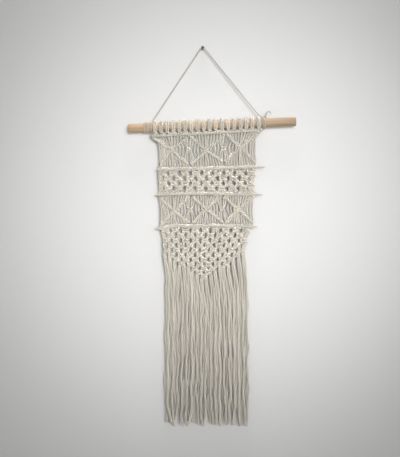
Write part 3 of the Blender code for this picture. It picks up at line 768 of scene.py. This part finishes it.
class MACRAME_OT_hitched_bars(bpy.types.Operator):
    """Hitch every cord over the four level filler cords"""
    bl_idname = "macrame.hitched_bars"
    bl_label = "Level Bars"

    LOOP = 2.25  # radius of a hitch's turns
    TAPER = (0.7, 0.09, 1.15)  # a filler's share at its cut ends, its rise in a millimetre, and its most

    def execute(self, context):
        work = cotton_work(context, "level_bars")
        least, rise, most = self.TAPER
        for name, bar in BARS.items():
            line = bar["line"]
            out = bar["out"]
            first = line[0][0]
            last = line[-1][0]
            work.lay([(x, out, along(line, x), min(most, least + rise * min(x - first, last - x)))
                      for x in np.linspace(first, last, 44)])
            aside = (bar["reach"][1] - bar["reach"][0]) / (CORDS - 1) / 4
            for number in range(CORDS):
                x, z = on_bar(name, number)
                slope = math.atan2(along(line, x + 2.0) - along(line, x - 2.0), 4.0)
                size = work.chance.uniform(0.88, 0.94)
                loop = self.LOOP + work.chance.uniform(-0.1, 0.15)
                knot = hitch(x, z, slope, aside, loop, size, out)
                above = (x, out - BEHIND_BAR, z + PAST_BAR, 0.8)
                work.lay([above, *knot, (x, out - 3.2, z - PAST_BAR, 0.8)])
        work.finish(knotting_cotton(context), ("knotted_panel",))
        return {"FINISHED"}


CROSS_CORDS = 12  # cords to a cross, half of them at each side of its middle
ARM_FILLERS = (("up_left", "down_right", 1.5), ("up_right", "down_left", 1.4))  # from, to and how far out
ARM_LOOP = 1.95
ARM_OUT = 1.0

# In each half of a diamond, cords 1 to 3 from its side corner bow this share of their way towards
# its knot, and the two inner cords tie the knot with the two from the other half: a cord's place
# in its cross, and its part in the knot.
BOWED = (0.0, 0.06, 0.17, 0.3)
GATHERED = {10: 0, 1: 1, 11: 2, 0: 3}


def cross_band(context, name, band, over, under):
    """The cords from one level bar to the next, hitched over the crosses' arms, with gathered knots."""
    work = cotton_work(context, name)
    crosses = CROSSES[band]
    for cross in crosses:
        for start, end, out in ARM_FILLERS:
            line = (cross[start], cross["middle"], cross[end])
            route = []
            for a, b in zip(line, line[1:]):
                for share in (0.0, 0.35, 0.7):
                    x, z = between(a, b, share)
                    route.append((x, out, z, 0.8))
            work.lay([*route, (line[-1][0], out, line[-1][1], 0.8)])
    for number in range(CORDS):
        work.lay(cross_cord(work, crosses, number, over, under))
    work.finish(knotting_cotton(context))


def cross_cord(work, crosses, number, over, under):
    """One cord's route through a band: an upper arm, the diamond or the edge, and a lower arm."""
    column, place = divmod(number, CROSS_CORDS)
    cross = crosses[column]
    half = CROSS_CORDS // 2
    left = place < half
    share = (place + 0.5) / half if left else (CROSS_CORDS - 0.5 - place) / half
    side = "left" if left else "right"
    top = cross["up_" + side]
    bottom = cross["down_" + side]
    bare = cross.get("bare_" + side, 0.0)
    a = between(top, cross["middle"], bare + (1.0 - bare) * share)
    b = between(bottom, cross["middle"], share)
    start_x, start_z = on_bar(over, number)
    end_x, end_z = on_bar(under, number)
    out = BARS[over]["out"] - BEHIND_BAR
    route = [(start_x, out, start_z - IN_BAR, 0.85), (start_x, out, start_z - PAST_BAR, 0.9)]
    route += arm_hitch(work, top, cross["middle"], a)
    x = (a[0] + b[0]) / 2
    neighbour = column + (-1 if left else 1)
    if 0 <= neighbour < len(crosses):
        centre = between(cross["middle"], crosses[neighbour]["middle"], 0.5)
        from_corner = half - 1 - place if left else place - half
        if place in GATHERED:
            route += square_knot(*centre, wide=0.66, high=0.92, size=0.76)[GATHERED[place]]
        elif from_corner:
            route.append((x + BOWED[from_corner] * (centre[0] - x), 0.2, centre[1], 0.97))
    elif abs(a[1] - b[1]) > 10:
        route.append((x + work.chance.uniform(-0.5, 0.5), 0.0, (a[1] + b[1]) / 2, 0.98))
    route += arm_hitch(work, cross["middle"], bottom, b)
    return [*route, (end_x, -0.6, end_z + 4.2, 0.9), (end_x, -0.8, end_z + IN_BAR, 0.85)]


def arm_hitch(work, start, end, place):
    """A hitch over a diagonal arm at this place on it."""
    slope = math.atan2(end[1] - start[1], end[0] - start[0])
    if math.cos(slope) < 0:
        slope -= math.pi
    aside = math.dist(start, end) / (CROSS_CORDS // 2) / 4
    size = work.chance.uniform(0.77, 0.83)
    return hitch(*place, slope, aside, ARM_LOOP, size, ARM_OUT)


class MACRAME_OT_cross_bands(bpy.types.Operator):
    """Knot the two bands of crosses and diamonds"""
    bl_idname = "macrame.cross_bands"
    bl_label = "Diamond Bands"

    def execute(self, context):
        cross_band(context, "diamond_band_top", "top", "under_rod", "upper")
        cross_band(context, "diamond_band_low", "low", "lower", "over_net")
        return {"FINISHED"}


KNOT_PITCH = 20.4  # the pitch at which a square knot has its own width
PASSED_BY = (10.8, 15.2)  # from a row's last knot to the two cords that pass by it


def net_routes(chance, name, over, uneven):
    """Each cord's route through the net's knots, from the level bar over it."""
    routes = []
    for number in range(CORDS):
        x, z = on_bar(over, number)
        routes.append([(x, -1.0, z - IN_BAR, 0.85), (x, -0.9, z - PAST_BAR, 0.9)])
    for row_z, start_x, pitch, first, knots, passed_by in NETS[name]:
        for n in range(knots):
            x = start_x + n * pitch + chance.uniform(-uneven, uneven)
            z = row_z + chance.uniform(-uneven, uneven)
            wide = pitch / KNOT_PITCH * chance.uniform(0.96, 1.04)
            high = chance.uniform(0.93, 1.0)
            over_cord, behind_cord, left, right = square_knot(x, z, wide, high, chance.uniform(-0.07, 0.07))
            for cord, part in enumerate((over_cord, left, right, behind_cord), first + 4 * n):
                routes[cord] += part
        if passed_by:
            near, far = PASSED_BY
            end_x = start_x + (knots - 1) * pitch
            for cord, x in ((0, start_x - far), (1, start_x - near), (34, end_x + near), (35, end_x + far)):
                routes[cord].append((x, 0.5, row_z, 1.0))
    return routes


class MACRAME_OT_knot_nets(bpy.types.Operator):
    """Tie the two nets of alternating square knots"""
    bl_idname = "macrame.knot_nets"
    bl_label = "Square Knot Nets"

    def execute(self, context):
        uneven = context.scene.macrame_sizes.unevenness / MM
        work = cotton_work(context, "square_knots_upper")
        for number, route in enumerate(net_routes(work.chance, "upper", "upper", uneven)):
            x, z = on_bar("lower", number)
            work.lay([*route, (x, -0.9, z + PAST_BAR, 0.9), (x, -1.0, z + IN_BAR, 0.85)])
        work.finish(knotting_cotton(context))
        work = cotton_work(context, "square_knots_pointed")
        for route in net_routes(work.chance, "lower", "over_net", uneven):
            x, out, z, _ = route[-1]
            work.lay([*route, (x, 0.3 * out, z - 4.0, 0.95)])
        work.finish(knotting_cotton(context))
        return {"FINISHED"}


class MACRAME_OT_fringe(bpy.types.Operator):
    """Hang the cord ends under the pointed net, with frayed tips"""
    bl_idname = "macrame.fringe"
    bl_label = "Fringe"

    HANG_REACH = (-71.2, 88.0)
    END_REACH = (-74.8, 92.5)
    STEPS = 20
    LAYER = 2.3  # odd cords hang this far out, and even cords this far in
    SETTLE = 45.0  # a cord finds its own place over this length
    WAVES = (((0.5, 1.3), (70, 120)), ((0.3, 0.75), (30, 46)))  # least and most of their sizes and lengths
    CURL = 56.0  # a cord's end bends aside over this length
    BUNCHED = (1.0, -0.2, -1.0)  # which way the front cords' ends bend, in threes
    HAIRS = 12
    FRAY = 13.0

    def execute(self, context):
        sizes = context.scene.macrame_sizes
        work = cotton_work(context, "fringe_cords")
        tips = cotton_work(context, "fringe_tips")
        # The pointed net is drawn again from its own seed, so that the cords hang from its knots.
        net = cotton_work(context, "square_knots_pointed")
        for number, route in enumerate(net_routes(net.chance, "lower", "over_net", sizes.unevenness / MM)):
            x, out, z, _ = route[-1]
            layer = (self.LAYER if number % 2 else -self.LAYER) + work.chance.uniform(-0.9, 0.9)
            end_z = sizes.fringe_bottom / MM + work.chance.uniform(-3.4, 3.4)
            fringe = [(x, 0.3 * out, z - 2.0, 0.86)]
            fringe += self.hang(work.chance, number, (x, z - 6.0), end_z, layer)
            work.lay(fringe)
            self.fray(tips, fringe)
        work.finish(knotting_cotton(context), ("cord_fringe",))
        tips.finish(knotting_cotton(context))
        return {"FINISHED"}

    def hang(self, chance, number, top, end_z, layer):
        """A loose cord's way down: it finds its place, waves a little and bends aside at its end."""
        x, z = top
        long = z - end_z
        hang_x = spread(self.HANG_REACH, number)
        end_x = spread(self.END_REACH, number) + chance.uniform(-1.0, 1.0)
        waves = [(chance.uniform(*size), chance.uniform(*length), chance.uniform(0, math.tau))
                 for size, length in self.WAVES]
        bunch = self.BUNCHED[number // 2 % 3] if number % 2 else 0.25
        curl = chance.uniform(-3.0, 3.0) + 4.4 * bunch
        route = []
        for n in range(self.STEPS + 1):
            drop = n / self.STEPS * long
            fallen = drop / long
            settled = min(1.0, drop / self.SETTLE)
            middle = hang_x + fallen * (end_x - hang_x)
            sway = sum(size * math.sin(math.tau * drop / length + phase) for size, length, phase in waves)
            sway *= 0.75 + 0.8 * drop / long
            bend = curl * max(0.0, 1.0 - (long - drop) / self.CURL) ** 2
            depth = layer * settled * (1.0 + 1.5 * fallen ** 2)
            depth += 0.6 * math.sin(math.tau * drop / waves[0][1] + waves[1][2])
            share = 0.92 + 0.1 * settled - 0.04 * fallen ** 2
            route.append((x + settled * (middle - x + sway) + bend, depth, z - drop, share))
        return route

    def fray(self, tips, fringe):
        """Opens a cord's end into plies and loose fibres."""
        x, out, z, _ = fringe[-1]
        lean = 0.4 * (x - fringe[-2][0])
        for n in range(self.HAIRS):
            turn = math.tau * n / self.HAIRS + tips.chance.uniform(-0.3, 0.3)
            wide = tips.chance.uniform(0.8, 2.6)
            long = tips.chance.uniform(0.2, 0.6) * self.FRAY
            aside = math.cos(turn)
            forward = math.sin(turn)
            start = (x + 0.9 * aside, out + 0.9 * forward, z + 4.0, 0.42)
            middle = (x + lean / 2 + 1.6 * aside, out + 1.6 * forward, z - 0.1 * self.FRAY, 0.34)
            end = (x + lean + wide * aside, out + wide * forward, z - long, 0.1)
            tips.lay([start, middle, end], plies=1, outline=(1.0, *ROUND))


class MACRAME_OT_studio(bpy.types.Operator):
    """Set up the wall, the floor, the light and the camera"""
    bl_idname = "macrame.studio"
    bl_label = "Studio"

    CAMERA = (-0.0052, -1.365, -0.3618)
    LENS = 60.75
    FLOOR_Z = -1.1
    WALL_TOP = 1.6
    WALL_Y = 0.001
    FAR = 3
    AIR = {"From Min": 0.0, "From Max": 1.0, "To Min": 0.205, "To Max": 0.5}  # height, and brightness there

    # name, place, what it is aimed at, size, power, colour and the cone of its light in degrees
    LIGHTS = (
        ("key_light", (0.33, -1.44, -0.2), (0.024, 0.0, -0.318), 0.85, 1.66, (1.0, 0.995, 0.985), 33.0),
        ("top_light", (0.02, -0.2, 1.3), (0.0, -0.08, -0.2), 0.5, 16.0, (1.0, 0.99, 0.98), 180.0),
        ("back_light", (-0.6, 1.8, 0.4), (0.0, 0.0, -0.4), 1.6, 14.0, (1.0, 0.99, 0.97), 180.0),
    )

    def execute(self, context):
        finishes = context.scene.macrame_finishes
        far = self.FAR
        y = self.WALL_Y
        z = self.FLOOR_Z
        top = self.WALL_TOP
        wall = self.plane("studio_wall", ((-far, y, z), (far, y, z), (far, y, top), (-far, y, top)))
        wall.data.materials.append(studio_paint("wall_paint", finishes.wall, 1.2, clear_from_behind=True))
        floor = self.plane("studio_floor", ((-far, -far, z), (far, -far, z), (far, far, z), (-far, far, z)))
        floor.data.materials.append(studio_paint("floor_paint", finishes.floor, 2.0))
        for settings in self.LIGHTS:
            self.light(*settings)
        self.air(context.scene)
        self.camera(context.scene)
        context.scene.view_settings.view_transform = "Standard"
        return {"FINISHED"}

    def plane(self, name, corners):
        mesh = bpy.data.meshes.new(name)
        mesh.from_pydata(corners, [], [(0, 1, 2, 3)])
        made = bpy.data.objects.new(name, mesh)
        bpy.context.scene.collection.objects.link(made)
        return made

    def light(self, name, place, target, size, power, colour, cone):
        lamp = bpy.data.lights.new(name, "AREA")
        lamp.shape = "DISK"
        lamp.size = size
        lamp.energy = power
        lamp.color = colour
        lamp.spread = math.radians(cone)
        made = bpy.data.objects.new(name, lamp)
        made.location = place
        made.rotation_euler = (Vector(target) - Vector(place)).to_track_quat("-Z", "Y").to_euler()
        made.visible_camera = False
        bpy.context.scene.collection.objects.link(made)

    def air(self, scene):
        """Soft light from all around, brighter from above."""
        world = scene.world or bpy.data.worlds.new("studio_air")
        scene.world = world
        world.use_nodes = True
        tree = world.node_tree
        background = tree.nodes["Background"]
        around = add_node(tree, "ShaderNodeTexCoord")
        height = add_node(tree, "ShaderNodeSeparateXYZ")
        brightness = add_node(tree, "ShaderNodeMapRange", self.AIR)
        join(tree,
             (around, "Generated", height, "Vector"), (height, "Z", brightness, "Value"),
             (brightness, "Result", background, "Strength"))
        fill(background, {"Color": (0.98, 0.99, 1.0, 1.0)})

    def camera(self, scene):
        camera = bpy.data.cameras.new("studio_camera")
        camera.sensor_width = 36.0
        camera.sensor_fit = "HORIZONTAL"
        camera.lens = self.LENS
        stand = bpy.data.objects.new("studio_camera", camera)
        stand.location = self.CAMERA
        stand.rotation_euler = (math.pi / 2, 0.0, 0.0)
        scene.collection.objects.link(stand)
        scene.camera = stand


OPERATORS = (
    MACRAME_OT_studio,
    MACRAME_OT_dowel,
    MACRAME_OT_nail,
    MACRAME_OT_hanging_cord,
    MACRAME_OT_rod_knots,
    MACRAME_OT_hitched_bars,
    MACRAME_OT_cross_bands,
    MACRAME_OT_knot_nets,
    MACRAME_OT_fringe,
)


class MACRAME_PT_hanging(bpy.types.Panel):
    """Sizes, finishes and pieces of the wall hanging"""
    bl_idname = "MACRAME_PT_hanging"
    bl_label = "Macrame Wall Hanging"
    bl_space_type = "VIEW_3D"
    bl_region_type = "UI"
    bl_category = "Macrame"

    def draw(self, context):
        for settings in (context.scene.macrame_sizes, context.scene.macrame_finishes):
            column = self.layout.column(align=True)
            for name in settings.__annotations__:
                column.prop(settings, name)
        column = self.layout.column(align=True)
        for operator in OPERATORS:
            column.operator(operator.bl_idname)


CLASSES = (MacrameSizes, MacrameFinishes, *OPERATORS, MACRAME_PT_hanging)


def register():
    for kind in CLASSES:
        bpy.utils.register_class(kind)
    bpy.types.Scene.macrame_sizes = PointerProperty(type=MacrameSizes)
    bpy.types.Scene.macrame_finishes = PointerProperty(type=MacrameFinishes)


def unregister():
    del bpy.types.Scene.macrame_finishes
    del bpy.types.Scene.macrame_sizes
    for kind in reversed(CLASSES):
        bpy.utils.unregister_class(kind)


def main():
    register()
    for operator in OPERATORS:
        family, name = operator.bl_idname.split(".")
        getattr(getattr(bpy.ops, family), name)()


if __name__ == "__main__":
    main()
